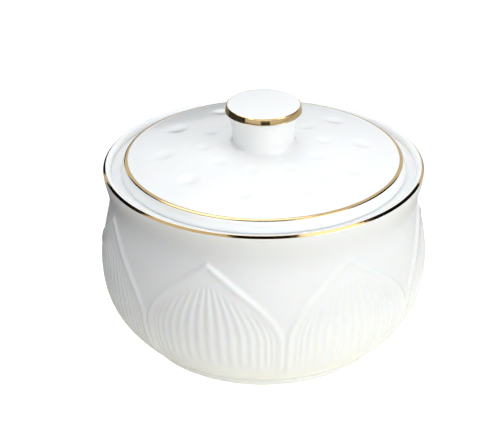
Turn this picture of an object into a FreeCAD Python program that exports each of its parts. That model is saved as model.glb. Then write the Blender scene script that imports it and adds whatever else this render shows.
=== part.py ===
# Soup bowl with a lid, in glazed porcelain.
# The bowl is round, with a gallery inside its lip for the lid and a ring of lotus petals in low
# relief round its wall. The lid is a shallow dome with two rings of dimples and a flat knob.
# Millimetres, +Z up, origin at the centre of the circle that the foot stands on.
import FreeCAD, Part
import math
import os

# Bowl, outside
rim_radius = 60.1            # widest point of the rolled lip
bowl_height = 69.9           # from the foot to the top of the lip
lip_thickness = 3.0
lip_outer_round = 0.8        # of its outside; the inside is rounded down to the ledge
neck_radius = 58.1           # narrowest point, under the lip
neck_drop = 11.9             # from the lip's top down to the neck
shoulder_radius = 59.3       # between neck and belly
shoulder_height = 48.6
belly_radius = 61.3          # widest point of the wall
belly_height = 33.0
hip_radius = 58.5            # between belly and foot
hip_height = 17.2
wall_end_radius = 47.6       # where the wall turns under, above the foot
foot_radius = 45.6
foot_height = 3.2
foot_width = 4.2
foot_round = 1.0             # rounding of the edges that it stands on

# Bowl, inside
wall_thickness = 3.7
floor_thickness = 4.3
floor_radius = 34.0          # the nearly flat middle of the floor
floor_dish = 0.8             # how far the floor's middle lies below its outside
recess_height = 2.7          # of the recess inside the foot, at its outside
recess_rise = 0.9            # how much more it rises at its middle
gallery_depth = 2.3          # from the lip's top down to the ledge that the lid rests on
gallery_width = 6.4          # of the ledge, from the lip inwards
gallery_thickness = 2.8
gallery_slope = 7.5          # height over which the gallery grows out of the wall
gallery_round = 0.8

# Lotus petals
petal_count = 7
petal_turn = -18.4           # degrees from -Y to the middle of the first petal
petal_lean = 1.8             # how far the tips lean to the left, looking at the wall
lean_power = 1.5             # more lets the lean start nearer the tip
petal_tip_height = 55.4
petal_widest_height = 27.0
petal_groove = 2.8           # between the crests of two neighbouring petals' edges
petal_foot_height = 7.5      # where the petals have run out into the wall
petal_fade = 9.0             # height over which they run out
petal_lift = 0.35            # the petal's face over the wall
tip_reach = 0.36             # handle of the arch at its tip, as a share of the half width
tip_drop = 0.25              # the same handle, as a share of the arch's height
shoulder_rise = 0.40         # handle of the arch at its widest point, as a share of its height
crest_lift = 0.75            # the raised edge over the wall
crest_inside = 1.5           # from the raised edge's crest to its foot on the petal
crest_outside = 1.35         # from the crest to its foot on the wall
bedding = 0.15               # how deep the feet of the raised edge lie under the faces beside it
root_depth = 0.5             # how deep the petals reach under the wall where they have run out
crest_root = 1.5             # how deep the raised edge reaches

# Ribs on each petal
rib_count = 15
rib_depth = 0.38             # from crest to valley
rib_top_drop = 5.9           # from the petal's tip down to the start of the middle rib
rib_top_fall = 0.62          # how much lower the outer ribs start, as a share of the middle one
rib_bottom_height = 13.0     # where the ribs have run out
rib_growth = 4.5             # height over which a rib grows from nothing
rib_run_out = 7.0            # height over which it fades
rib_crowding = 74.0          # degrees: more sets the outer ribs closer together

# Lid
lid_gap = 3.5                # from the lip's inside to the lid's edge
lid_edge_height = 4.7
lid_edge_lean = 1.5          # the lid's edge leans inwards by this much
lid_edge_round = 1.0
lid_foot_round = 0.5
lid_rise = 6.5               # from the lid's edge up to the top of its dome
lid_thickness = 4.2
guide_gap = 1.0              # from the ledge's inside to the guide ring under the lid
guide_depth = 4.4
guide_width = 3.6
guide_round = 0.9

# Knob
knob_radius = 14.3
knob_stem_radius = 11.6
knob_neck_inset = 0.9        # from the knob's edge in to the top of its stem
knob_height = 15.7           # from the dome to the edge of the knob's top
knob_edge_height = 3.4       # the rounded edge of the knob's top
knob_edge_round = 1.0
knob_crown = 0.4             # the knob's top bulges by this much
knob_fillet = 1.6
knob_wall = 4.2              # round the hollow that goes up into the knob
knob_hollow_round = 5.0
knob_mouth_round = 2.0

# Dimples in the lid, in two rings
dimple_count = 10
dimple_turn = -10.5          # degrees from -Y to the first dimple of each ring
inner_ring_radius = 22.3
inner_dimple_width = 6.2
inner_dimple_depth = 0.4
outer_ring_radius = 37.3
outer_dimple_width = 8.0
outer_dimple_depth = 0.6

# Roundings: sides closer to equal than the tolerance get a round edge, other ones a freer curve
tolerance = 0.001
roundness = 0.55

# Values that follow from the ones above
lip_inner_radius = rim_radius - lip_thickness
mouth_radius = lip_inner_radius - gallery_width
ledge_height = bowl_height - gallery_depth
neck_height = bowl_height - neck_drop
lip_side_height = bowl_height - lip_outer_round
lid_radius = lip_inner_radius - lid_gap
lid_edge_top = ledge_height + lid_edge_height
dome_radius = lid_radius - lid_edge_lean - lid_edge_round
guide_radius = mouth_radius - guide_gap
petal_half_width = math.pi * belly_radius / petal_count - petal_groove / 2
petal_arch_height = petal_tip_height - petal_widest_height


def at(radius, height):
    """A point of an outline, in the XZ plane."""
    return FreeCAD.Vector(radius, 0, height)


def line(start, end):
    """A straight edge."""
    return Part.makeLine(start, end)


def closed_lines(points):
    """Straight edges through the points and back to the first."""
    return [line(points[i], points[(i + 1) % len(points)]) for i in range(len(points))]


def rounded(start, corner, end):
    """A rounded corner that leaves start and reaches end along the corner's sides."""
    side = (start - corner).Length
    if abs(side - (end - corner).Length) < tolerance:
        middle = (start + end) * 0.5
        inwards = middle - corner
        radius = side * (start - middle).Length / inwards.Length
        nearest = side ** 2 / inwards.Length - radius
        return arc(start, corner + inwards.normalize() * nearest, end)
    curve = Part.BezierCurve()
    curve.setPoles([start, start + (corner - start) * roundness, end + (corner - end) * roundness, end])
    return curve.toShape()


def arc(start, middle, end):
    """A round edge through three points."""
    return Part.Arc(start, middle, end).toShape()


def spline(points, first_direction=None, last_direction=None):
    """A smooth curve through points, with given directions at its ends if there are any."""
    curve = Part.BSplineCurve()
    if first_direction is None:
        curve.interpolate(Points=points)
    else:
        curve.interpolate(Points=points, InitialTangent=first_direction, FinalTangent=last_direction)
    return curve


def revolve(edges):
    """Turn a closed outline in the XZ plane round the Z axis."""
    face = Part.Face(Part.Wire(edges))
    solid = face.revolve(FreeCAD.Vector(0, 0, 0), FreeCAD.Vector(0, 0, 1), 360)
    if solid.Volume < 0:
        solid.reverse()
    return solid


def flat_face(edges):
    """A flat face inside a closed loop of edges."""
    return Part.Face(Part.Wire(Part.sortEdges(edges)[0]))


def solid_of(faces):
    """Sew faces into one closed solid that faces outwards."""
    shell = Part.Shell(faces)
    shell.sewShape()
    solid = Part.Solid(shell)
    if solid.Volume < 0:
        solid.reverse()
    return solid


def solve(function, low, high):
    """The value between low and high at which a rising function is zero."""
    for _ in range(40):
        middle = (low + high) / 2
        if function(middle) < 0:
            low = middle
        else:
            high = middle
    return (low + high) / 2


def smooth_step(value):
    """Rise smoothly from 0 to 1 while the value goes from 0 to 1."""
    value = min(max(value, 0.0), 1.0)
    return value * value * (3 - 2 * value)


def make_wall_curve():
    """The outside of the wall, from where it turns under up to the widest point of the lip."""
    points = [
        at(wall_end_radius, foot_height),
        at(hip_radius, hip_height),
        at(belly_radius, belly_height),
        at(shoulder_radius, shoulder_height),
        at(neck_radius, neck_height),
        at((neck_radius + rim_radius) / 2, (neck_height + lip_side_height) / 2),
        at(rim_radius, lip_side_height),
    ]
    return spline(points, at(1.0, 0.75), at(0.0, 1.0))


WALL = make_wall_curve()


def beside_wall(height, lift):
    """Radius and height of a point over the wall's outside, or inside it if lift is negative."""
    parameter = solve(lambda t: WALL.value(t).z - height, WALL.FirstParameter, WALL.LastParameter)
    foot = WALL.value(parameter)
    along = WALL.tangent(parameter)[0]
    return foot.x + lift * along.z, foot.z - lift * along.x


def wall_point(side, height, lift):
    """A point over the wall, side being measured round the belly from the petal's middle line."""
    radius, level = beside_wall(height, lift)
    lean = petal_lean * max(0.0, (height - petal_widest_height) / petal_arch_height) ** lean_power
    angle = (side - lean) / belly_radius
    return FreeCAD.Vector(radius * math.sin(angle), -radius * math.cos(angle), level)


def make_arch():
    """Half of a petal's pointed arch, unrolled as side and height, from its tip to its widest."""
    curve = Part.BezierCurve()
    curve.setPoles([
        at(0, petal_tip_height),
        at(tip_reach * petal_half_width, petal_tip_height - tip_drop * petal_arch_height),
        at(petal_half_width, petal_widest_height + shoulder_rise * petal_arch_height),
        at(petal_half_width, petal_widest_height),
    ])
    return curve


ARCH = make_arch()


def beside_arch(parameter, distance):
    """Side and height of a point beside the arch, outwards if the distance is positive."""
    place = ARCH.value(parameter)
    along = ARCH.tangent(parameter)[0]
    return place.x - distance * along.z, place.z + distance * along.x


def half_width(height):
    """Half the petal's width, unrolled, at a height."""
    if height <= petal_widest_height:
        return petal_half_width
    return ARCH.value(solve(lambda t: height - ARCH.value(t).z, 0.0, 1.0)).x


def fading_lift(lift, height):
    """A lift over the wall that sinks under it towards the petal's foot, and stays if it is deeper."""
    presence = smooth_step((height - petal_foot_height) / petal_fade)
    return min(lift, (lift + root_depth) * presence - root_depth)


def line_share(step):
    """Where a line of the ribbed face lies across the petal, as a share of its half width."""
    if abs(step) > rib_count + 1:
        return math.copysign(1.0, step)
    crowding = math.radians(rib_crowding)
    inner = 1 - crest_inside / petal_half_width
    return inner * math.sin(crowding * step / (rib_count + 1)) / math.sin(crowding)


def rib_top(share):
    """The height at which a rib starts, lower for the outer ribs."""
    middle = petal_arch_height - rib_top_drop
    return petal_widest_height + middle * (1 - rib_top_fall * share ** 2)


def rib_presence(share, height):
    """1 where a rib has its full depth, falling to 0 at both of its ends."""
    growing = smooth_step((rib_top(share) - height) / rib_growth)
    fading = smooth_step((height - rib_bottom_height) / rib_run_out)
    return growing * fading


def face_line(step, low_rows, high_rows):
    """A rib's crest, a valley or a plain line of the petal's face, from its foot up to its edge."""
    share = line_share(step)
    if abs(step) > rib_count:
        depth = 0.0
        turn = petal_widest_height
    else:
        depth = rib_depth / 2 if step % 2 == 0 else -rib_depth / 2
        turn = rib_top(share)
    side = abs(share) * half_width(turn)
    top = ARCH.value(solve(lambda t: ARCH.value(t).x - side, 0.0, 1.0)).z
    rise = turn - petal_foot_height
    heights = [petal_foot_height + rise * i / low_rows for i in range(low_rows + 1)]
    if abs(step) <= rib_count + 1:
        heights += [turn + (top - turn) * (i + 1) / high_rows for i in range(high_rows)]
    points = []
    for height in heights:
        lift = fading_lift(petal_lift, height) + depth * rib_presence(share, height)
        points.append(wall_point(share * half_width(min(height, turn)), height, lift))
    return spline(points).toShape()


def make_ribbed_body():
    """A petal's ribbed face, with a plain body behind it that reaches far into the wall."""
    last = rib_count + 2
    edges = [face_line(step, 10, 3) for step in range(-last, last + 1)]
    feet = [edge.valueAt(edge.FirstParameter) for edge in edges]
    tops = [edge.valueAt(edge.LastParameter) for edge in edges]
    faces = [Part.makeRuledSurface(edges[i], edges[i + 1]) for i in range(len(edges) - 1)]

    # The body behind is half as far from the axis: two sides, a back, a bottom and a fan on top
    low = [FreeCAD.Vector(foot.x / 2, foot.y / 2, foot.z) for foot in (feet[0], feet[-1])]
    high = [FreeCAD.Vector(point.x, point.y, tops[0].z) for point in low]
    for i in (0, -1):
        side = [line(tops[i], high[i]), line(high[i], low[i]), line(low[i], feet[i])]
        faces.append(flat_face([edges[i]] + side))
    faces.append(flat_face(closed_lines([low[0], low[1], high[1], high[0]])))
    faces.append(flat_face(closed_lines(feet + [low[1], low[0]])))
    middle = len(tops) // 2
    for i in range(middle):
        faces.append(flat_face(closed_lines([tops[i], tops[i + 1], high[0]])))
        faces.append(flat_face(closed_lines([tops[-1 - i], tops[-2 - i], high[1]])))
    faces.append(flat_face(closed_lines([tops[middle], high[0], high[1]])))
    return solid_of(faces)


def edge_rail(distance, lift, side, rows):
    """A line beside the crest of the petal's edge, from the petal's foot to its tip."""
    points = []
    rise = petal_widest_height - petal_foot_height
    for row in range(rows):
        height = petal_foot_height + rise * row / rows
        around = side * (petal_half_width + distance)
        points.append(wall_point(around, height, fading_lift(lift, height)))
    if distance < 0:
        start = solve(lambda t: beside_arch(t, distance)[0], 0.0, 1.0)
        tip = beside_arch(start, distance)[1]
    else:
        start = 0.0
        tip = petal_tip_height + distance / ARCH.tangent(0.0)[0].x
    for row in range(rows):
        around, height = beside_arch(1 + (start - 1) * row / rows, distance)
        points.append(wall_point(side * around, height, lift))
    points.append(wall_point(0.0, tip, lift))
    return spline(points).toShape()


def make_raised_edge():
    """The ridge round a petal's edge, with its root in the wall, mitred at the petal's tip."""
    rows = 8
    faces = []
    for side in (-1, 1):
        rails = [
            edge_rail(-crest_inside, petal_lift - bedding, side, rows),
            edge_rail(0.0, crest_lift, side, rows),
            edge_rail(crest_outside, -bedding, side, rows),
            edge_rail(0.0, -crest_root, side, rows),
        ]
        faces += [Part.makeRuledSurface(rails[i], rails[(i + 1) % 4]) for i in range(4)]
        feet = [rail.valueAt(rail.FirstParameter) for rail in rails]
        faces.append(flat_face(closed_lines([feet[0], feet[1], feet[3]])))
        faces.append(flat_face(closed_lines([feet[1], feet[2], feet[3]])))
    return solid_of(faces)


def make_petals():
    """All the petals, each turned to its place."""
    petal = make_ribbed_body().fuse(make_raised_edge()).Solids[0]
    petals = []
    for i in range(petal_count):
        turned = petal.copy()
        turned.rotate(at(0, 0), at(0, 1), petal_turn + 360.0 * i / petal_count)
        petals.append(turned)
    return petals


def make_bowl_blank():
    """The bowl's outside, still filled up to the ledge."""
    foot_inside = foot_radius - foot_width
    recess_top = recess_height + recess_rise
    recess_middle = foot_inside / 2
    recess_middle_height = recess_height + recess_rise * 0.75
    lip_top = at(rim_radius - lip_outer_round, bowl_height)
    return revolve([
        arc(at(0, recess_top), at(recess_middle, recess_middle_height), at(foot_inside, recess_height)),
        line(at(foot_inside, recess_height), at(foot_inside, foot_round)),
        rounded(at(foot_inside, foot_round), at(foot_inside, 0), at(foot_inside + foot_round, 0)),
        line(at(foot_inside + foot_round, 0), at(foot_radius - foot_round, 0)),
        rounded(at(foot_radius - foot_round, 0), at(foot_radius, 0), at(foot_radius, foot_round)),
        line(at(foot_radius, foot_round), at(foot_radius, foot_height)),
        line(at(foot_radius, foot_height), at(wall_end_radius, foot_height)),
        WALL.toShape(),
        rounded(at(rim_radius, lip_side_height), at(rim_radius, bowl_height), lip_top),
        rounded(lip_top, at(lip_inner_radius, bowl_height), at(lip_inner_radius, ledge_height)),
        line(at(lip_inner_radius, ledge_height), at(0, ledge_height)),
        line(at(0, ledge_height), at(0, recess_top)),
    ])


def make_bowl_cavity():
    """What is taken out of the blank: the bowl's inside and its mouth."""
    floor_height = recess_height + recess_rise + floor_thickness
    slope_top = ledge_height - gallery_thickness
    inner_points = [at(0, floor_height), at(floor_radius, floor_height + floor_dish)]
    for height in (hip_height, belly_height, shoulder_height, slope_top - gallery_slope):
        inner_points.append(at(*beside_wall(height, -wall_thickness)))
    inner_wall = spline(inner_points, at(1.0, 0.0), at(0.0, 1.0))
    mouth_side = at(mouth_radius, ledge_height - gallery_round)
    mouth_top = at(mouth_radius + gallery_round, ledge_height)
    above = at(mouth_top.x, bowl_height)
    return revolve([
        inner_wall.toShape(),
        line(inner_points[-1], at(mouth_radius, slope_top)),
        line(at(mouth_radius, slope_top), mouth_side),
        rounded(mouth_side, at(mouth_radius, ledge_height), mouth_top),
        line(mouth_top, above),
        line(above, at(0, bowl_height)),
        line(at(0, bowl_height), at(0, floor_height)),
    ])


def make_bowl():
    """The bowl: the blank with its petals, hollowed out."""
    return make_bowl_blank().fuse(make_petals()).cut(make_bowl_cavity())


def dome_sphere_radius():
    """Radius of the sphere that the lid's top is a cap of."""
    return (dome_radius ** 2 + lid_rise ** 2) / (2 * lid_rise)


def dome_height(radius):
    """Height of the lid's top at a distance from the axis."""
    sphere = dome_sphere_radius()
    return lid_edge_top + lid_rise - sphere + math.sqrt(sphere ** 2 - radius ** 2)


def dome_point(radius, depth):
    """A point of the lid's outline, at a depth under its top."""
    return at(radius, dome_height(radius) - depth)


def knob_outline(stem_foot):
    """The knob's outline from its fillet on the dome up to the middle of its top."""
    stem_start = at(knob_stem_radius, stem_foot.z + knob_fillet)
    top = stem_foot.z + knob_height
    stem_end = at(knob_radius - knob_neck_inset, top - knob_edge_height)
    bulge_low = at(knob_radius, stem_end.z + (knob_edge_height - knob_edge_round) / 2)
    bulge_high = at(knob_radius, top - knob_edge_round)
    crown_edge = at(knob_radius - knob_edge_round, top)
    crown_middle = at(crown_edge.x / 2, top + knob_crown * 0.75)
    return [
        rounded(dome_point(knob_stem_radius + knob_fillet, 0), stem_foot, stem_start),
        spline([stem_start, stem_end], at(0.0, 1.0), at(0.35, 1.0)).toShape(),
        rounded(stem_end, at(knob_radius, stem_end.z), bulge_low),
        line(bulge_low, bulge_high),
        rounded(bulge_high, at(knob_radius, top), crown_edge),
        arc(crown_edge, crown_middle, at(0, top + knob_crown)),
    ]


def hollow_outline(top):
    """The outline of the hollow in the knob, from its top down to the dome's underside."""
    radius = knob_stem_radius - knob_wall
    mouth_corner = dome_point(radius, lid_thickness)
    mouth_side = at(radius, mouth_corner.z + knob_mouth_round)
    side_top = at(radius, top - knob_hollow_round)
    return [
        rounded(at(0, top), at(radius, top), side_top),
        line(side_top, mouth_side),
        rounded(mouth_side, mouth_corner, dome_point(radius + knob_mouth_round, lid_thickness)),
    ]


def guide_outline(inside):
    """The outline of the guide ring under the lid, from the dome's underside out to the seat."""
    low = ledge_height - guide_depth
    side_low = low + guide_round
    return [
        line(dome_point(inside, lid_thickness), at(inside, side_low)),
        rounded(at(inside, side_low), at(inside, low), at(inside + guide_round, low)),
        line(at(inside + guide_round, low), at(guide_radius - guide_round, low)),
        rounded(at(guide_radius - guide_round, low), at(guide_radius, low), at(guide_radius, side_low)),
        line(at(guide_radius, side_low), at(guide_radius, ledge_height)),
    ]


def make_lid_blank():
    """The lid and its knob, turned as one piece."""
    edge_low = at(lid_radius, ledge_height)
    edge_high = at(lid_radius - lid_edge_lean, lid_edge_top)
    lean = (edge_high - edge_low).normalize()
    seat_outside = at(lid_radius - lid_foot_round, ledge_height)
    edge_start = edge_low + lean * lid_foot_round
    edge_end = edge_high - lean * lid_edge_round
    dome_edge = dome_point(dome_radius, 0)
    fillet_radius = knob_stem_radius + knob_fillet
    stem_foot = dome_point(knob_stem_radius, 0)
    crown_height = stem_foot.z + knob_height + knob_crown
    hollow_top = crown_height - knob_wall
    under_start = knob_stem_radius - knob_wall + knob_mouth_round
    under_end = guide_radius - guide_width
    under_middle = (under_start + under_end) / 2
    outline = hollow_outline(hollow_top)
    outline.append(arc(
        dome_point(under_start, lid_thickness),
        dome_point(under_middle, lid_thickness),
        dome_point(under_end, lid_thickness),
    ))
    outline += guide_outline(under_end)
    outline += [
        line(at(guide_radius, ledge_height), seat_outside),
        rounded(seat_outside, edge_low, edge_start),
        line(edge_start, edge_end),
        rounded(edge_end, edge_high, dome_edge),
        arc(dome_edge, dome_point((dome_radius + fillet_radius) / 2, 0), dome_point(fillet_radius, 0)),
    ]
    outline += knob_outline(stem_foot)
    outline.append(line(at(0, crown_height), at(0, hollow_top)))
    return revolve(outline)


def make_dimples():
    """Balls that press the dimples into the lid's dome."""
    sphere = dome_sphere_radius()
    rings = (
        (inner_ring_radius, inner_dimple_width, inner_dimple_depth),
        (outer_ring_radius, outer_dimple_width, outer_dimple_depth),
    )
    balls = []
    for ring_radius, width, depth in rings:
        ball_radius = (width ** 2 / 4 + depth ** 2) / (2 * depth)
        for i in range(dimple_count):
            ball = Part.makeSphere(ball_radius)
            ball.rotate(at(0, 0), FreeCAD.Vector(0, 1, 0), -90)
            ball.translate(at(0, sphere + ball_radius - depth))
            ball.rotate(at(0, 0), at(1, 0), math.degrees(math.asin(ring_radius / sphere)))
            ball.rotate(at(0, 0), at(0, 1), dimple_turn + 360.0 * i / dimple_count)
            ball.translate(at(0, lid_edge_top + lid_rise - sphere))
            balls.append(ball)
    return balls


def make_lid():
    """The lid with its knob and dimples, the seam of its turned faces between two dimples."""
    lid = make_lid_blank()
    lid.rotate(at(0, 0), at(0, 1), dimple_turn + 180.0 / dimple_count - 90.0)
    return lid.cut(make_dimples())


def export(shape, name):
    """Write the one solid of a finished piece."""
    if len(shape.Solids) != 1:
        raise ValueError(name + " should be one solid")
    shape.Solids[0].exportStep("parts/" + name + ".step")


os.makedirs("parts", exist_ok=True)
export(make_bowl(), "bowl")
export(make_lid(), "lid")
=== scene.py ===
"""Soup bowl with a lid: white porcelain with a clear glaze, lotus petals in relief and gilded lines."""
import math

import bpy
import numpy as np
from bpy.props import FloatProperty, FloatVectorProperty, IntProperty, PointerProperty
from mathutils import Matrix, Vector


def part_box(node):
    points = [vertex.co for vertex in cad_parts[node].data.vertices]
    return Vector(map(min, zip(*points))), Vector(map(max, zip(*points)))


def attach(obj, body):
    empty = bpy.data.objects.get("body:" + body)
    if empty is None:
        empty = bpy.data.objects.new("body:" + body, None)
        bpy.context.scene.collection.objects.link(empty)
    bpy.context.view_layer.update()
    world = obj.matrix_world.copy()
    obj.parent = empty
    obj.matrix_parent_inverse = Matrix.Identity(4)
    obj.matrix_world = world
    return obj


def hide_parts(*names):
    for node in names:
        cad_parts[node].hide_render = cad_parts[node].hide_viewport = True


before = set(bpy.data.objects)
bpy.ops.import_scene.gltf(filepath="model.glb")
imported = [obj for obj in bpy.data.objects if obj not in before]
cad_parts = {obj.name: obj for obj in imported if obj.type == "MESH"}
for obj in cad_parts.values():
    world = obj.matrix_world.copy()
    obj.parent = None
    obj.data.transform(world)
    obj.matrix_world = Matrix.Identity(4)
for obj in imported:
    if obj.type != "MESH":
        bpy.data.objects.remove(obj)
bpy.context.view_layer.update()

bl_info = {
    "name": "Lidded soup bowl",
    "version": (1, 0, 0),
    "blender": (4, 5, 0),
    "location": "View3D > Sidebar > Soup bowl",
    "description": "Builds a lidded porcelain soup bowl with lotus petals in relief",
    "category": "Add Mesh",
}

MM = 0.001
FINE_STEPS = 2000           # steps along a curve in which a height on it is looked up
BOWL_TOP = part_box("bowl")[1].z / MM
LID_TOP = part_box("lid")[1].z / MM


def linear(code, alpha=1.0):
    """An sRGB hex colour as linear red, green and blue."""
    out = []
    for i in (0, 2, 4):
        value = int(code[i:i + 2], 16) / 255
        out.append(value / 12.92 if value <= 0.04045 else ((value + 0.055) / 1.055) ** 2.4)
    return (out[0], out[1], out[2], alpha)


def length_property(name, text, value, low=0.0):
    """A size in millimetres that the sidebar shows."""
    return FloatProperty(name=name, description=text, default=value, min=low, precision=2)


def colour_property(name, text, code):
    """A colour that the sidebar shows."""
    return FloatVectorProperty(
        name=name, description=text, default=linear(code)[:3], min=0, max=1, subtype="COLOR")


class BowlSettings(bpy.types.PropertyGroup):
    """Sizes of the bowl in millimetres."""
    rim_radius: length_property("Rim radius", "Widest point of the rolled lip", 60.1)
    height: length_property("Height", "From the foot to the top of the lip", BOWL_TOP)
    petals: IntProperty(name="Petals", description="Lotus petals round the wall", default=7, min=3)
    petal_turn: FloatProperty(
        name="Petal turn", description="Direction of the first petal, from the front",
        default=math.radians(-18.4), subtype="ANGLE")
    ribs: IntProperty(name="Ribs", description="Ribs on each petal", default=15, min=3)
    rib_depth: length_property("Rib depth", "From a rib's crest to the valley beside it", 0.38)
    crest_lift: length_property("Edge lift", "How far a petal's raised edge stands over the wall", 0.75)


class LidSettings(bpy.types.PropertyGroup):
    """Sizes of the lid in millimetres."""
    radius: length_property("Radius", "Of the lid where it rests on the ledge", 53.6)
    height: length_property("Height", "Of the knob's top over the table", LID_TOP)
    dimples: IntProperty(name="Dimples", description="Dimples in each ring", default=10, min=0)
    dimple_turn: FloatProperty(
        name="Dimple turn", description="Direction of the first dimple, from the front",
        default=math.radians(-10.5), subtype="ANGLE")


class FinishSettings(bpy.types.PropertyGroup):
    """Colours of the glaze, the gilding and the bare foot."""
    porcelain: colour_property("Porcelain", "White body under a clear glaze", "F7F8F7")
    pooled: colour_property("Pooled glaze", "Where the glaze is thick, in the valleys", "EEF0EC")
    gold: colour_property("Gold", "Burnished gilding", "E8C892")
    foot: colour_property("Bare foot", "Unglazed body under the foot ring", "E9E4D8")


# Shapes


def smooth_step(value):
    """Rise smoothly from 0 to 1 while the value goes from 0 to 1."""
    value = np.clip(value, 0.0, 1.0)
    return value * value * (3 - 2 * value)


class Spline:
    """A smooth curve through points, spaced by their distances, with set directions at its ends."""

    def __init__(self, points, first, last):
        self.points = np.array(points, float)
        steps = np.linalg.norm(np.diff(self.points, axis=0), axis=1)
        self.knots = np.concatenate([[0], np.cumsum(steps)])
        count = len(self.points)
        matrix = np.zeros((count, count))
        right = np.zeros((count, 2))
        matrix[0, 0] = matrix[-1, -1] = 1
        right[0] = np.array(first) / np.linalg.norm(first)
        right[-1] = np.array(last) / np.linalg.norm(last)
        for i in range(1, count - 1):
            before, after = steps[i - 1], steps[i]
            matrix[i, i - 1] = after
            matrix[i, i] = 2 * (before + after)
            matrix[i, i + 1] = before
            slope_before = (self.points[i] - self.points[i - 1]) / before
            slope_after = (self.points[i + 1] - self.points[i]) / after
            right[i] = 3 * (after * slope_before + before * slope_after)
        self.slopes = np.linalg.solve(matrix, right)

    def at(self, t):
        """Points at the distances t."""
        t = np.clip(np.asarray(t, float), 0, self.knots[-1])
        i = np.clip(np.searchsorted(self.knots, t, side="right") - 1, 0, len(self.knots) - 2)
        step = (self.knots[i + 1] - self.knots[i])[:, None]
        s = (t - self.knots[i])[:, None] / step
        start, end = self.points[i], self.points[i + 1]
        out = (2 * s ** 3 - 3 * s ** 2 + 1) * start + (s ** 3 - 2 * s ** 2 + s) * step * self.slopes[i]
        return out + (3 * s ** 2 - 2 * s ** 3) * end + (s ** 3 - s ** 2) * step * self.slopes[i + 1]

    def even(self, count):
        """Points at equal steps."""
        return self.at(np.linspace(0, self.knots[-1], count))

    def reaching(self, heights):
        """Distances at which the curve, which only rises, comes to the heights."""
        steps = np.linspace(0, self.knots[-1], FINE_STEPS)
        return np.interp(heights, self.at(steps)[:, 1], steps)


def round_corner(start, corner, end, count):
    """Points of a rounded corner that leaves start and reaches end along the corner's sides."""
    start, corner, end = np.array(start, float), np.array(corner, float), np.array(end, float)
    a = start + (corner - start) * 0.55
    b = end + (corner - end) * 0.55
    t = np.linspace(0, 1, count)[:, None]
    return (1 - t) ** 3 * start + 3 * (1 - t) ** 2 * t * a + 3 * (1 - t) * t ** 2 * b + t ** 3 * end


def bent(start, turns):
    """Points of an outline made of arcs, each given by its radius, the last direction that it faces
    in degrees above level, and its points. The first arc starts out facing level."""
    places = [np.array(start, float)]
    facing = 0.0
    for radius, last, count in turns:
        middle = places[-1] - radius * np.array([math.cos(facing), math.sin(facing)])
        for angle in np.linspace(facing, math.radians(last), count + 1)[1:]:
            places.append(middle + radius * np.array([math.cos(angle), math.sin(angle)]))
        facing = math.radians(last)
    return places


def rounded_path(corners):
    """Points along a run of corners, each given as radius, height, rounding and points in it."""
    runs = [np.array([corners[0][:2]], float)]
    for i in range(1, len(corners) - 1):
        here = np.array(corners[i][:2], float)
        size, count = corners[i][2:]
        before = np.array(corners[i - 1][:2], float) - here
        after = np.array(corners[i + 1][:2], float) - here
        start = here + before / np.linalg.norm(before) * size
        end = here + after / np.linalg.norm(after) * size
        runs.append(round_corner(start, here, end, count))
    runs.append(np.array([corners[-1][:2]], float))
    return np.concatenate(runs)


def ring_points(radius, height, angles):
    """Points of a ring, the angles being measured from the front, towards the right."""
    radius = np.broadcast_to(radius, angles.shape)
    height = np.broadcast_to(height, angles.shape)
    return np.stack([radius * np.sin(angles), -radius * np.cos(angles), height], axis=1) * MM


class TurnedMesh:
    """A mesh made of rings round the Z axis, which may differ in how many points they have."""

    def __init__(self):
        self.points = []
        self.faces = []
        self.kinds = []
        self.count = 0
        self.last = None

    def ring(self, points, kind=0):
        """Add a ring and join it to the one before."""
        start = self.count
        self.points.append(points)
        self.count += len(points)
        if self.last is not None:
            self.bridge(self.last, (start, len(points)), kind)
        self.last = (start, len(points))

    def rings(self, outline, count, kind_at=None):
        """Add plain rings along an outline. kind_at gives the material at a radius and height."""
        angles = angles_of(count)
        for radius, height in outline:
            self.ring(ring_points(radius, height, angles), kind_at(radius, height) if kind_at else 0)

    def point(self, height):
        """Close the mesh on the axis, or open it there."""
        self.ring(np.array([(0.0, 0.0, height * MM)]))

    def bridge(self, low, high, kind):
        """Join two rings, the counts being equal or multiples, or one of them a single point."""
        (a, n), (b, m) = low, high
        if n == m:
            i = np.arange(n)
            j = (i + 1) % n
            new = np.stack([a + i, a + j, b + j, b + i], axis=1).tolist()
        elif n == 1:
            new = [(a, b + (i + 1) % m, b + i) for i in range(m)]
        elif m == 1:
            new = [(a + i, a + (i + 1) % n, b) for i in range(n)]
        elif n > m:
            new = self.fan(a, n, b, m, False)
        else:
            new = self.fan(b, m, a, n, True)
        self.faces += new
        self.kinds += [kind] * len(new)

    @staticmethod
    def fan(fine, n, coarse, m, flip):
        """Join a fine ring to a coarse one."""
        step = n // m
        new = []
        for j in range(m):
            near, far = coarse + j, coarse + (j + 1) % m
            half = step // 2
            for k in range(step):
                i = j * step + k
                tip = near if k < half else far
                new.append((fine + i, fine + (i + 1) % n, tip))
            new.append((fine + j * step + half, far, near))
        if flip:
            new = [tuple(reversed(face)) for face in new]
        return new

    def build(self, name, materials):
        """Make the mesh object."""
        points = np.concatenate(self.points)
        mesh = bpy.data.meshes.new(name)
        mesh.from_pydata(points.tolist(), [], self.faces)
        mesh.polygons.foreach_set("material_index", np.array(self.kinds, dtype=np.int32))
        mesh.polygons.foreach_set("use_smooth", np.ones(len(self.faces), dtype=bool))
        for material in materials:
            mesh.materials.append(material)
        mesh.update()
        mesh.validate()
        piece = bpy.data.objects.new(name, mesh)
        bpy.context.scene.collection.objects.link(piece)
        return piece


def angles_of(count):
    """Equal angles all round."""
    return np.arange(count) * 2 * math.pi / count


# Lotus petals

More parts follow.
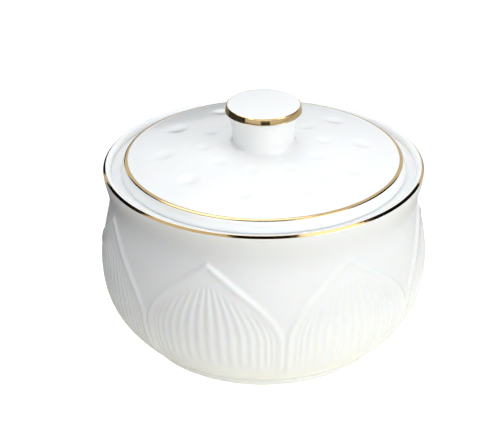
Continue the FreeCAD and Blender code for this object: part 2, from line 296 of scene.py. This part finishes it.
# Outline of the wall in millimetres, as radius and height, from where it turns under up to the neck
WALL_END = (47.6, 3.2)
HIP = (58.5, 17.2)
BELLY = (61.3, 33.0)
SHOULDER = (59.3, 48.6)
NECK_RADIUS = 58.1
NECK_DROP = 11.9            # from the top of the lip down to the neck
LIP_ROUND = 0.8             # from the top of the lip down to its widest point

# One petal in millimetres, unrolled on the belly
PETAL_TIP = 55.4            # heights
PETAL_WIDEST = 27.0
PETAL_FOOT = 7.5
PETAL_FADE = 9.0            # height over which the relief grows from the petal's foot
PETAL_GROOVE = 2.8          # between two petals
PETAL_LIFT = 0.35           # how far the petal's field stands over the wall
PETAL_LEAN, LEAN_POWER = 1.8, 1.5       # how far the tip leans to one side, and how late
TIP_REACH, TIP_DROP, SHOULDER_RISE = 0.36, 0.25, 0.40   # the arch's slopes, as shares of its size
CREST_INSIDE, CREST_OUTSIDE = 1.5, 1.55                 # width of the raised edge's two sides
SPREAD_INSIDE, SPREAD_OUTSIDE = 1.25, 1.15              # how much wider their soft feet are
RIB_TOP_DROP, RIB_TOP_FALL = 5.9, 0.62  # where the ribs end under the tip, and how much lower at the sides
RIB_BOTTOM, RIB_GROWTH, RIB_RUN = 13.0, 4.5, 7.0        # where they end below, and how long they fade
RIB_CROWDING = math.radians(74.0)       # how much closer the outer ribs stand
RIB_MARGIN = 1.2                        # how far inside the petal's edge they die out
ARCH_POINTS = 400                       # points along one side of the arch


def wall_spline(sizes):
    """The outside of the wall, from where it turns under up to the lip's widest point."""
    lip_low = sizes.height - LIP_ROUND
    neck = sizes.height - NECK_DROP
    points = [
        WALL_END, HIP, BELLY, SHOULDER, (NECK_RADIUS, neck),
        ((NECK_RADIUS + sizes.rim_radius) / 2, (neck + lip_low) / 2), (sizes.rim_radius, lip_low),
    ]
    return Spline(points, (1.0, 0.75), (0.0, 1.0))


class Petal:
    """The relief of one petal, unrolled as side and height in millimetres."""

    def __init__(self, sizes):
        self.half = math.pi * BELLY[0] / sizes.petals - PETAL_GROOVE / 2
        self.rise = PETAL_TIP - PETAL_WIDEST
        t = np.linspace(0, 1, ARCH_POINTS)[:, None]
        poles = np.array([
            (0, PETAL_TIP),
            (TIP_REACH * self.half, PETAL_TIP - TIP_DROP * self.rise),
            (self.half, PETAL_WIDEST + SHOULDER_RISE * self.rise),
            (self.half, PETAL_WIDEST),
        ])
        self.arch = ((1 - t) ** 3 * poles[0] + 3 * (1 - t) ** 2 * t * poles[1]
                     + 3 * (1 - t) * t ** 2 * poles[2] + t ** 3 * poles[3])
        self.ribs = sizes.ribs
        self.rib_depth = sizes.rib_depth
        self.crest = sizes.crest_lift

    def half_width(self, height):
        """Half the petal's width at the heights."""
        out = np.interp(-height, -self.arch[:, 1], self.arch[:, 0], left=0.0, right=self.half)
        return np.where(height <= PETAL_WIDEST, self.half, out)

    def beside_edge(self, side, height):
        """Distance from the petal's edge, less than zero inside."""
        out = side - self.half
        high = height > PETAL_WIDEST
        near = np.full(side.shape, 1e9)
        for x, z in self.arch[::2]:
            near = np.minimum(near, (side - x) ** 2 + (height - z) ** 2)
        near = np.sqrt(near)
        inside = side < self.half_width(height)
        return np.where(high, np.where(inside, -near, near), out)

    def lift(self, side, height):
        """How far the relief stands over the wall."""
        side = np.abs(side)
        edge = self.beside_edge(side, height)
        fade = smooth_step((height - PETAL_FOOT) / PETAL_FADE)
        plateau = PETAL_LIFT * smooth_step(0.5 - edge / CREST_OUTSIDE)
        inner = np.clip(1 + edge / (CREST_INSIDE * SPREAD_INSIDE), 0, 1)
        outer = np.clip(1 - edge / (CREST_OUTSIDE * SPREAD_OUTSIDE), 0, 1)
        bead = np.where(edge < 0, smooth_step(inner), smooth_step(outer))
        bead = bead * (self.crest - PETAL_LIFT * smooth_step(0.5 - edge / CREST_OUTSIDE))
        width = np.maximum(self.half_width(height), 0.5)
        share = np.clip(side / width, 0, 1)
        inner_share = 1 - CREST_INSIDE / self.half
        crowded = np.clip(share / inner_share, 0, 1) * math.sin(RIB_CROWDING)
        step = np.arcsin(crowded) / RIB_CROWDING * (self.ribs + 1)
        top = PETAL_WIDEST + (self.rise - RIB_TOP_DROP) * (1 - RIB_TOP_FALL * share ** 2)
        growing = smooth_step((top - height) / RIB_GROWTH)
        fading = smooth_step((height - RIB_BOTTOM) / RIB_RUN)
        ribs = self.rib_depth / 2 * np.cos(math.pi * step) * growing * fading
        ribs = np.where(step > self.ribs, 0, ribs) * smooth_step(-edge / RIB_MARGIN)
        return fade * (plateau + bead) + ribs


# Materials


def add_node(tree, kind, settings=None, inputs=None, links=None):
    """Add a node with its settings, its sockets' values and the links that come into it."""
    node = tree.nodes.new(kind)
    for name, value in (settings or {}).items():
        setattr(node, name, value)
    for name, value in (inputs or {}).items():
        node.inputs[name].default_value = value
    for name, source in (links or {}).items():
        tree.links.new(source, node.inputs[name])
    return node


def new_material(name):
    """An empty material with its tree and output."""
    material = bpy.data.materials.new(name)
    material.use_nodes = True
    tree = material.node_tree
    tree.nodes.clear()
    output = tree.nodes.new("ShaderNodeOutputMaterial")
    return material, tree, output


def glazed_porcelain(finish):
    """White porcelain under a clear, glossy glaze.

    The body glows a little from inside, the glaze mirrors softly, and it is slightly cooler and
    greyer where it has pooled. Its surface is not perfectly even, so reflections waver.
    """
    material, tree, output = new_material("Glazed porcelain")
    place = add_node(tree, "ShaderNodeTexCoord")
    drift = add_node(tree, "ShaderNodeTexNoise", inputs={"Scale": 45.0, "Detail": 2.0},
                     links={"Vector": place.outputs["Object"]})
    tone = add_node(tree, "ShaderNodeMapRange", inputs={
        "From Min": 0.3, "From Max": 0.75, "To Min": 0.0, "To Max": 0.35},
        links={"Value": drift.outputs["Fac"]})
    colour = add_node(tree, "ShaderNodeMix", settings={"data_type": "RGBA"})
    tree.links.new(tone.outputs["Result"], colour.inputs["Factor"])
    colour.inputs["A"].default_value = (*finish.porcelain, 1.0)
    colour.inputs["B"].default_value = (*finish.pooled, 1.0)
    wave = add_node(tree, "ShaderNodeTexNoise", inputs={"Scale": 160.0, "Detail": 1.0},
                    links={"Vector": place.outputs["Object"]})
    bump = add_node(tree, "ShaderNodeBump", inputs={"Strength": 0.06, "Distance": 0.0006},
                    links={"Height": wave.outputs["Fac"]})
    shader = add_node(tree, "ShaderNodeBsdfPrincipled", inputs={
        "Roughness": 0.16, "IOR": 1.5, "Subsurface Weight": 0.6, "Subsurface Scale": 0.0025,
        "Coat Weight": 0.35, "Coat Roughness": 0.06,
    }, links={"Base Color": colour.outputs["Result"], "Normal": bump.outputs["Normal"]})
    shader.inputs["Subsurface Radius"].default_value = (1.0, 0.8, 0.6)
    tree.links.new(shader.outputs["BSDF"], output.inputs["Surface"])
    return material


def fired_gold(finish):
    """Burnished gilding fired on the glaze: a bright metal with faint brush marks."""
    material, tree, output = new_material("Fired gold")
    place = add_node(tree, "ShaderNodeTexCoord")
    marks = add_node(tree, "ShaderNodeTexNoise", inputs={"Scale": 300.0, "Detail": 2.0},
                     links={"Vector": place.outputs["Object"]})
    rough = add_node(tree, "ShaderNodeMapRange", inputs={
        "From Min": 0.3, "From Max": 0.7, "To Min": 0.07, "To Max": 0.14},
        links={"Value": marks.outputs["Fac"]})
    bump = add_node(tree, "ShaderNodeBump", inputs={"Strength": 0.08, "Distance": 0.0004},
                    links={"Height": marks.outputs["Fac"]})
    shader = add_node(tree, "ShaderNodeBsdfPrincipled", inputs={
        "Metallic": 1.0, "Base Color": (*finish.gold, 1.0),
    }, links={"Roughness": rough.outputs["Result"], "Normal": bump.outputs["Normal"]})
    tree.links.new(shader.outputs["BSDF"], output.inputs["Surface"])
    return material


def bare_porcelain(finish):
    """Unglazed porcelain, wiped clean before firing: matt, a little creamy, with a fine grain."""
    material, tree, output = new_material("Bare porcelain")
    place = add_node(tree, "ShaderNodeTexCoord")
    grain = add_node(tree, "ShaderNodeTexNoise", inputs={"Scale": 1500.0, "Detail": 3.0},
                     links={"Vector": place.outputs["Object"]})
    bump = add_node(tree, "ShaderNodeBump", inputs={"Strength": 0.2, "Distance": 0.0002},
                    links={"Height": grain.outputs["Fac"]})
    shader = add_node(tree, "ShaderNodeBsdfPrincipled", inputs={
        "Roughness": 0.7, "IOR": 1.5, "Base Color": (*finish.foot, 1.0),
    }, links={"Normal": bump.outputs["Normal"]})
    tree.links.new(shader.outputs["BSDF"], output.inputs["Surface"])
    return material


# Pieces

GLAZE, GOLD, BARE = 0, 1, 2             # places of the materials on a piece
FINE, MIDDLE, COARSE = 840, 420, 210    # points in a ring

# The bowl's foot, lip, ledge and inside in millimetres
FOOT_INSIDE, FOOT_OUTSIDE = 41.4, 45.6
RECESS, RECESS_RISE = 2.7, 0.9          # height of the recess inside the foot, and how much more in its middle
RELIEF_LOW, RELIEF_HIGH = 7.0, 59.2     # heights between which the wall carries the petals
RELIEF_ROWS = 72
LIP = 3.0                               # thickness
LIP_RISE = 0.995                        # height of the arcs on its outer top edge
LIP_ARCS = ((0.25, 40, 4), (6.5, 50, 7), (0.15, 90, 4))
LIP_GOLD_DROP, LIP_GOLD_REACH = 0.82, 1.05      # how far the gold goes down and inwards
GALLERY_DEPTH = 2.3                     # from the top of the lip down to the ledge
LEDGE_WIDTH = 6.4
HOLLOW_TOP = ((54.4, 57.2), (54.6, 56.0))
HOLLOW = ((54.4, 55.5), (55.7, 48.6), (57.6, 33.0), (54.9, 18.5), (34.0, 8.7), (0.0, 7.9))

# The lid in millimetres
EDGE_RISE, EDGE_TAPER = 4.7, 1.5        # its upright edge, and how much narrower it is on top
EDGE_GOLD_DROP, EDGE_GOLD_RADIUS = 0.4, 52.2
DOME_RADIUS, DOME_RISE = 51.1, 6.5
DIMPLED_FROM, DIMPLED_TO, DIMPLED_ROWS = 49.4, 16.0, 74     # the fine part of the dome, as radii
LID_WALL = 4.2                          # thickness
GUIDE_INSIDE, GUIDE_OUTSIDE, GUIDE_DEPTH = 46.1, 49.7, 4.4
DIMPLE_RINGS = ((22.3, 6.2, 0.32), (37.3, 8.0, 0.48))   # radius of the ring, width and depth
DIMPLE_SOFTNESS = 1.25                  # how much wider a dimple's soft rim is
STEM_RADIUS, STEM_HEAD, STEM_FILLET = 11.6, 13.4, 13.2
KNOB_RADIUS, KNOB_CROWN, KNOB_FALL = 14.3, 0.4, 0.65    # rise of its face, and the fall to its gold
KNOB_OUTLINE = (                        # radius, depth under the top edge, rounding and points in it
    (STEM_HEAD + 0.02, 3.35, 0, 0), (KNOB_RADIUS, 3.25, 0.55, 6), (KNOB_RADIUS, 2.68, 0.1, 2),
    (14.12, 1.9, 0.15, 4), (13.75, 0.38, 0.3, 7), (12.85, 0.25, 0, 0))
KNOB_GOLD_DROP, KNOB_GOLD_RADIUS = 2.66, 12.9
KNOB_HOLLOW = 7.4                       # radius of the hollow in the knob


def relief_rings(mesh, sizes, petal, wall):
    """The part of the wall that carries the petals."""
    angles = angles_of(FINE)
    pitch = 2 * math.pi / sizes.petals
    around = (angles - sizes.petal_turn + pitch / 2) % pitch - pitch / 2
    steps = wall.reaching(np.linspace(RELIEF_LOW, RELIEF_HIGH, RELIEF_ROWS))
    places = wall.at(steps)
    before = wall.at(steps - 0.05)
    after = wall.at(steps + 0.05)
    along = after - before
    along /= np.linalg.norm(along, axis=1)[:, None]
    for place, direction in zip(places, along):
        share = max(0.0, (place[1] - PETAL_WIDEST) / petal.rise)
        side = around * BELLY[0] + PETAL_LEAN * share ** LEAN_POWER
        lift = petal.lift(side, np.full(FINE, place[1]))
        mesh.ring(ring_points(place[0] + lift * direction[1], place[1] - lift * direction[0], angles), GLAZE)


class SOUPBOWL_OT_bowl(bpy.types.Operator):
    """Build the bowl with its petals, lip, ledge, inside and foot"""
    bl_idname = "soupbowl.bowl"
    bl_label = "Bowl"

    def execute(self, context):
        sizes = context.scene.soupbowl_bowl
        finish = context.scene.soupbowl_finish
        wall = wall_spline(sizes)
        petal = Petal(sizes)
        top = sizes.height
        ledge = top - GALLERY_DEPTH
        outer, inner = sizes.rim_radius, sizes.rim_radius - LIP
        mouth = inner - LEDGE_WIDTH
        mesh = TurnedMesh()
        # Underside: the recess, the bare foot that it stands on and the step under the wall
        mesh.point(RECESS + RECESS_RISE)
        recess = [(r, RECESS + RECESS_RISE * (1 - (r / FOOT_INSIDE) ** 2)) for r in (8, 16, 24, 32, 38)]
        mesh.rings(recess, COARSE)
        foot = rounded_path([
            (FOOT_INSIDE - 1.0, RECESS + 0.05, 0, 0), (FOOT_INSIDE, RECESS, 0.5, 5), (FOOT_INSIDE, 0.0, 1.0, 6),
            (FOOT_OUTSIDE, 0.0, 1.0, 7), (FOOT_OUTSIDE, WALL_END[1], 0.7, 6), (*WALL_END, 0.5, 4),
            (WALL_END[0] + 0.5, WALL_END[1] + 0.375, 0, 0)])
        mesh.rings(foot, COARSE, lambda radius, height: BARE if (
            height < 0.6 and FOOT_INSIDE < radius < FOOT_OUTSIDE) else GLAZE)
        # Wall
        low = wall.even(FINE_STEPS)
        mesh.rings(low[(low[:, 1] > WALL_END[1] + 0.7) & (low[:, 1] < RELIEF_LOW - 0.4)][::8], COARSE)
        relief_rings(mesh, sizes, petal, wall)
        high = wall.at(wall.reaching(np.linspace(RELIEF_HIGH + 1.0, top - LIP_ROUND - 0.2, 10)))
        mesh.rings(high, MIDDLE)
        # Lip, gilded along its outer top edge
        lip = bent((outer, top - LIP_RISE), LIP_ARCS)
        gold_low, gold_inner = top - LIP_GOLD_DROP, outer - LIP_GOLD_REACH
        mesh.rings(lip, MIDDLE, lambda radius, height: GOLD if height > gold_low else GLAZE)
        rounding = round_corner(lip[-1], (inner, lip[-1][1]), (inner, ledge + 0.3), 10)
        mesh.rings(rounding[1:], MIDDLE, lambda radius, height: GOLD if radius > gold_inner else GLAZE)
        # Ledge, mouth and inside
        mesh.rings(rounded_path([
            (inner, ledge + 0.25, 0, 0), (inner, ledge, 0.2, 3), (mouth, ledge, 0.8, 6),
            (mouth, ledge - 2.8, 1.2, 5), (*HOLLOW_TOP[0], 2.0, 5), (*HOLLOW_TOP[1], 0, 0)]), COARSE)
        mesh.rings(Spline(HOLLOW, (0.0, -1.0), (-1.0, 0.0)).even(28)[:-1], COARSE)
        mesh.point(HOLLOW[-1][1])
        piece = mesh.build("porcelain_bowl", [
            glazed_porcelain(finish), fired_gold(finish), bare_porcelain(finish)])
        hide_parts("bowl")
        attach(piece, "root")
        return {"FINISHED"}


def dome_height(radius, edge_top):
    """Height of the lid's dome, part of a ball, at a distance from the axis."""
    ball = (DOME_RADIUS ** 2 + DOME_RISE ** 2) / (2 * DOME_RISE)
    return edge_top + DOME_RISE - ball + np.sqrt(ball ** 2 - radius ** 2)


def dimple_depth(radius, angles, sizes):
    """How deep the dimples go at the points of a ring."""
    out = np.zeros(angles.shape)
    pitch = 2 * math.pi / sizes.dimples
    around = (angles - sizes.dimple_turn + pitch / 2) % pitch - pitch / 2
    for ring_radius, width, depth in DIMPLE_RINGS:
        side = ring_radius * np.sin(around)
        away = radius - ring_radius * np.cos(around)
        near = np.sqrt(side ** 2 + away ** 2) / (width / 2)
        out += depth * (1 - smooth_step(near / DIMPLE_SOFTNESS))
    return out


class SOUPBOWL_OT_lid(bpy.types.Operator):
    """Build the lid with its dimples, knob and guide ring"""
    bl_idname = "soupbowl.lid"
    bl_label = "Lid"

    def execute(self, context):
        sizes = context.scene.soupbowl_lid
        finish = context.scene.soupbowl_finish
        seat = context.scene.soupbowl_bowl.height - GALLERY_DEPTH
        edge_top = seat + EDGE_RISE
        knob_top = sizes.height - KNOB_CROWN

        def over(radius):
            return float(dome_height(radius, edge_top))

        def under(radius):
            return over(radius) - LID_WALL

        mesh = TurnedMesh()
        # Underside: the hollow in the knob and the dome's underside
        hollow_top = sizes.height - LID_WALL
        mesh.point(hollow_top)
        mesh.rings(rounded_path([
            (0.8, hollow_top, 0, 0), (KNOB_HOLLOW, hollow_top, 4.5, 8),
            (KNOB_HOLLOW, under(KNOB_HOLLOW), 2.0, 6), (12.0, under(12.0), 0, 0)]), COARSE)
        mesh.rings([(r, under(r)) for r in np.linspace(14, 45, 14)], COARSE)
        # Guide ring and the upright edge, gilded along its top
        low = seat - GUIDE_DEPTH
        guide = rounded_path([
            (GUIDE_INSIDE - 0.7, under(GUIDE_INSIDE - 0.7), 0, 0), (GUIDE_INSIDE, under(GUIDE_INSIDE), 0.5, 4),
            (GUIDE_INSIDE, low, 0.9, 6), (GUIDE_OUTSIDE, low, 0.9, 6), (GUIDE_OUTSIDE, seat, 0.25, 3),
            (sizes.radius, seat, 0.5, 5), (sizes.radius - EDGE_TAPER, edge_top, 1.0, 13),
            (50.8, over(50.8), 0, 0)])
        below = guide[:, 1] < edge_top - 2
        mesh.rings(guide[below], COARSE)
        mesh.rings(guide[~below], MIDDLE, lambda radius, height: GOLD if (
            height > edge_top - EDGE_GOLD_DROP and radius < EDGE_GOLD_RADIUS) else GLAZE)
        # Dome with its dimples
        angles = angles_of(FINE)
        for radius in np.linspace(DIMPLED_FROM, DIMPLED_TO, DIMPLED_ROWS):
            sink = dimple_depth(radius, angles, sizes)
            mesh.ring(ring_points(radius, dome_height(radius, edge_top) - sink, angles), GLAZE)
        # Knob: a stem that widens upwards, and a flat head with a gilded edge
        foot = over(STEM_RADIUS)
        mesh.rings([(14.4, over(14.4))], COARSE)
        mesh.rings(round_corner(
            (STEM_FILLET, over(STEM_FILLET)), (STEM_RADIUS, foot), (STEM_RADIUS, foot + 1.6), 8), COARSE)
        stem = Spline([(STEM_RADIUS, foot + 1.6), (STEM_HEAD, knob_top - 3.4)], (0.0, 1.0), (0.35, 1.0))
        mesh.rings(stem.even(12)[1:], COARSE)
        head = rounded_path([(radius, knob_top - depth, *rest) for radius, depth, *rest in KNOB_OUTLINE])
        mesh.rings(head, MIDDLE, lambda radius, height: GOLD if (
            height > knob_top - KNOB_GOLD_DROP and radius > KNOB_GOLD_RADIUS) else GLAZE)
        face = [(r, sizes.height - KNOB_FALL * (r / KNOB_GOLD_RADIUS) ** 2) for r in (11, 8.5, 5.5, 2.5)]
        mesh.rings(face, COARSE)
        mesh.point(sizes.height)
        piece = mesh.build("porcelain_lid", [
            glazed_porcelain(finish), fired_gold(finish), bare_porcelain(finish)])
        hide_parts("lid")
        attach(piece, "root")
        return {"FINISHED"}


# Stage


# The camera, in pixels of the picture, millimetres of its sensor, degrees and metres
PICTURE_WIDTH, PICTURE_HEIGHT = 478, 430
AXIS_X, AXIS_Y = 263.64, 232.79         # where the point on the bowl's axis that it aims at is seen
FOCAL_LENGTH = 2084.55
SENSOR_WIDTH = 36.0
ELEVATION = 27.8
DISTANCE = 0.79513
AIM_HEIGHT = 0.040

# The table: what it gives back to the bowl from the left side to the right, and what the camera sees
TABLE_DIM, TABLE_LIGHT, TABLE_SEEN = "7C7C7A", "C4C3BC", "F8F7F2"
TABLE_DIM_X, TABLE_LIGHT_X = -0.12, 0.02
TABLE_GLOW = 0.32                       # light added for the camera alone, so the table stays white


def card(name, place, aim, width, height, material, seen=False):
    """A flat panel that faces a point, and that the camera looks through unless it is to be seen."""
    mesh = bpy.data.meshes.new(name)
    x, y = width / 2, height / 2
    mesh.from_pydata([(-x, -y, 0), (x, -y, 0), (x, y, 0), (-x, y, 0)], [], [(0, 1, 2, 3)])
    mesh.materials.append(material)
    panel = bpy.data.objects.new(name, mesh)
    panel.location = place
    panel.rotation_euler = (Vector(place) - Vector(aim)).to_track_quat("Z", "Y").to_euler()
    bpy.context.scene.collection.objects.link(panel)
    panel.visible_camera = seen


def lamp(name, place, aim, width, height, power, colour, shape="RECTANGLE"):
    """A soft box."""
    data = bpy.data.lights.new(name, "AREA")
    data.shape = shape
    data.size = width
    data.size_y = height
    data.energy = power
    data.color = colour
    light = bpy.data.objects.new(name, data)
    light.location = place
    light.rotation_euler = (Vector(place) - Vector(aim)).to_track_quat("Z", "Y").to_euler()
    light.visible_camera = False
    bpy.context.scene.collection.objects.link(light)


def matt(name, code):
    """Matt paint on a studio card."""
    material, tree, output = new_material(name)
    shader = add_node(tree, "ShaderNodeBsdfDiffuse", inputs={"Color": linear(code)})
    tree.links.new(shader.outputs["BSDF"], output.inputs["Surface"])
    return material


def table_material():
    """A pale table. The camera sees it white, with the shadow that the bowl leaves on it.

    The light that it gives back to the bowl is dimmer on the left, which shades that side.
    """
    material, tree, output = new_material("Pale table")
    place = add_node(tree, "ShaderNodeNewGeometry")
    across = add_node(tree, "ShaderNodeSeparateXYZ", links={"Vector": place.outputs["Position"]})
    side = add_node(tree, "ShaderNodeMapRange", settings={"interpolation_type": "SMOOTHSTEP"}, inputs={
        "From Min": TABLE_DIM_X, "From Max": TABLE_LIGHT_X}, links={"Value": across.outputs["X"]})
    graded = add_node(tree, "ShaderNodeMix", settings={"data_type": "RGBA"}, inputs={
        "A": linear(TABLE_DIM), "B": linear(TABLE_LIGHT)}, links={"Factor": side.outputs["Result"]})
    path = add_node(tree, "ShaderNodeLightPath")
    colour = add_node(tree, "ShaderNodeMix", settings={"data_type": "RGBA"}, inputs={
        "B": linear(TABLE_SEEN),
    }, links={"Factor": path.outputs["Is Camera Ray"], "A": graded.outputs["Result"]})
    shader = add_node(tree, "ShaderNodeBsdfDiffuse", links={"Color": colour.outputs["Result"]})
    glow = add_node(tree, "ShaderNodeMath", settings={"operation": "MULTIPLY"}, inputs={
        1: TABLE_GLOW}, links={0: path.outputs["Is Camera Ray"]})
    light = add_node(tree, "ShaderNodeEmission", links={"Strength": glow.outputs["Value"]})
    add = add_node(tree, "ShaderNodeAddShader", links={0: shader.outputs["BSDF"], 1: light.outputs["Emission"]})
    tree.links.new(add.outputs["Shader"], output.inputs["Surface"])
    return material


def studio_world():
    """Even, slightly cool light from all round, which the camera sees as white."""
    world = bpy.data.worlds.new("Studio")
    world.use_nodes = True
    tree = world.node_tree
    tree.nodes.clear()
    output = tree.nodes.new("ShaderNodeOutputWorld")
    path = add_node(tree, "ShaderNodeLightPath")
    soft = add_node(tree, "ShaderNodeBackground", inputs={"Color": (0.95, 0.97, 1.0, 1.0), "Strength": 0.72})
    white = add_node(tree, "ShaderNodeBackground", inputs={"Color": (1.0, 1.0, 1.0, 1.0), "Strength": 1.0})
    mixed = add_node(tree, "ShaderNodeMixShader", links={
        "Fac": path.outputs["Is Camera Ray"], 1: soft.outputs[0], 2: white.outputs[0]})
    tree.links.new(mixed.outputs[0], output.inputs["Surface"])
    return world


class SOUPBOWL_OT_stage(bpy.types.Operator):
    """Set up the table, the soft boxes, the dark cards and the camera"""
    bl_idname = "soupbowl.stage"
    bl_label = "Stage"

    def execute(self, context):
        scene = context.scene
        scene.view_settings.view_transform = "Standard"
        scene.world = studio_world()
        card("table", (0, 0, 0), (0, 0, -1), 8.0, 8.0, table_material(), True)
        # Soft boxes: most of the light is from above and from the right
        middle = (0, 0, 0.05)
        lamp("key", (0.82, -0.43, 1.2), middle, 0.85, 0.85, 2.1, (1.0, 0.995, 0.985))
        lamp("top", (-0.3, 0.5, 1.55), middle, 1.3, 1.1, 7.8, (0.95, 0.98, 1.0))
        lamp("front", (0.0, -1.25, 0.48), middle, 1.1, 0.32, 1.9, (1.0, 1.0, 1.0))
        lamp("front_right", (0.95, -0.62, 0.62), middle, 0.5, 0.5, 5.2, (0.965, 0.985, 1.0))
        lamp("front_left", (-0.6, -0.7, 0.5), middle, 0.3, 0.3, 1.25, (0.98, 0.99, 1.0))
        # A round lamp that lights the table under the bowl, and so the underside of the wall
        lamp("table_glow", (0.0, 0.0, 0.0005), (0.0, 0.0, -1.0), 0.21, 0.21, 0.09, (1.0, 0.985, 0.93), "DISK")
        # Cards that the gilding mirrors as dark stretches, and that keep the left side in shade
        dark = matt("Black card", "101010")
        card("card_low", (0.1, -1.05, 0.11), (0.1, 0.0, 0.11), 0.5, 0.22, dark)
        card("card_high", (0.0, -0.655, 1.25), (0.0, 0.0, 0.07), 0.82, 0.56, dark)
        card("card_back", (-0.5, 1.4, 0.15), (-0.5, 0.0, 0.15), 1.1, 0.3, dark)
        card("card_far", (-0.35, 0.75, 0.003), (-0.35, 0.75, -1.0), 0.9, 0.75, dark)
        card("card_left", (-1.1, 0.62, 0.55), (0.0, 0.62, 0.55), 0.96, 1.1, dark)
        card("card_side", (-1.1, -0.3, 0.3), (0.0, -0.3, 0.3), 0.9, 0.6, dark)
        card("card_near", (-0.17, 0.0, 0.06), (0.0, 0.0, 0.06), 0.2, 0.08, matt("Grey card", "454545"))
        card("card_right", (1.1, 0.5, 0.78), (0.0, 0.5, 0.78), 1.2, 1.05, dark)
        # Camera
        elevation = math.radians(ELEVATION)
        data = bpy.data.cameras.new("camera")
        data.sensor_width = SENSOR_WIDTH
        data.lens = FOCAL_LENGTH * SENSOR_WIDTH / PICTURE_WIDTH
        data.shift_x = (PICTURE_WIDTH / 2 - AXIS_X) / PICTURE_WIDTH
        data.shift_y = (AXIS_Y - PICTURE_HEIGHT / 2) / PICTURE_WIDTH
        camera = bpy.data.objects.new("camera", data)
        camera.location = (0, -DISTANCE * math.cos(elevation), AIM_HEIGHT + DISTANCE * math.sin(elevation))
        camera.rotation_euler = (math.pi / 2 - elevation, 0, 0)
        scene.collection.objects.link(camera)
        scene.camera = camera
        return {"FINISHED"}


class SOUPBOWL_PT_panel(bpy.types.Panel):
    """Sizes and colours of the soup bowl"""
    bl_idname = "SOUPBOWL_PT_panel"
    bl_label = "Soup bowl"
    bl_space_type = "VIEW_3D"
    bl_region_type = "UI"
    bl_category = "Soup bowl"

    def draw(self, context):
        for group in (context.scene.soupbowl_bowl, context.scene.soupbowl_lid, context.scene.soupbowl_finish):
            box = self.layout.box()
            for name in group.__annotations__:
                box.prop(group, name)
        for operator in OPERATORS:
            self.layout.operator(operator.bl_idname)


OPERATORS = (SOUPBOWL_OT_bowl, SOUPBOWL_OT_lid, SOUPBOWL_OT_stage)
CLASSES = (BowlSettings, LidSettings, FinishSettings) + OPERATORS + (SOUPBOWL_PT_panel,)


def register():
    """Register the classes and the settings."""
    for item in CLASSES:
        bpy.utils.register_class(item)
    bpy.types.Scene.soupbowl_bowl = PointerProperty(type=BowlSettings)
    bpy.types.Scene.soupbowl_lid = PointerProperty(type=LidSettings)
    bpy.types.Scene.soupbowl_finish = PointerProperty(type=FinishSettings)


def unregister():
    """Undo what register did."""
    del bpy.types.Scene.soupbowl_bowl
    del bpy.types.Scene.soupbowl_lid
    del bpy.types.Scene.soupbowl_finish
    for item in reversed(CLASSES):
        bpy.utils.unregister_class(item)


def main():
    """Build everything."""
    register()
    bpy.ops.soupbowl.bowl()
    bpy.ops.soupbowl.lid()
    bpy.ops.soupbowl.stage()
    bpy.context.view_layer.update()


if __name__ == "__main__":
    main()
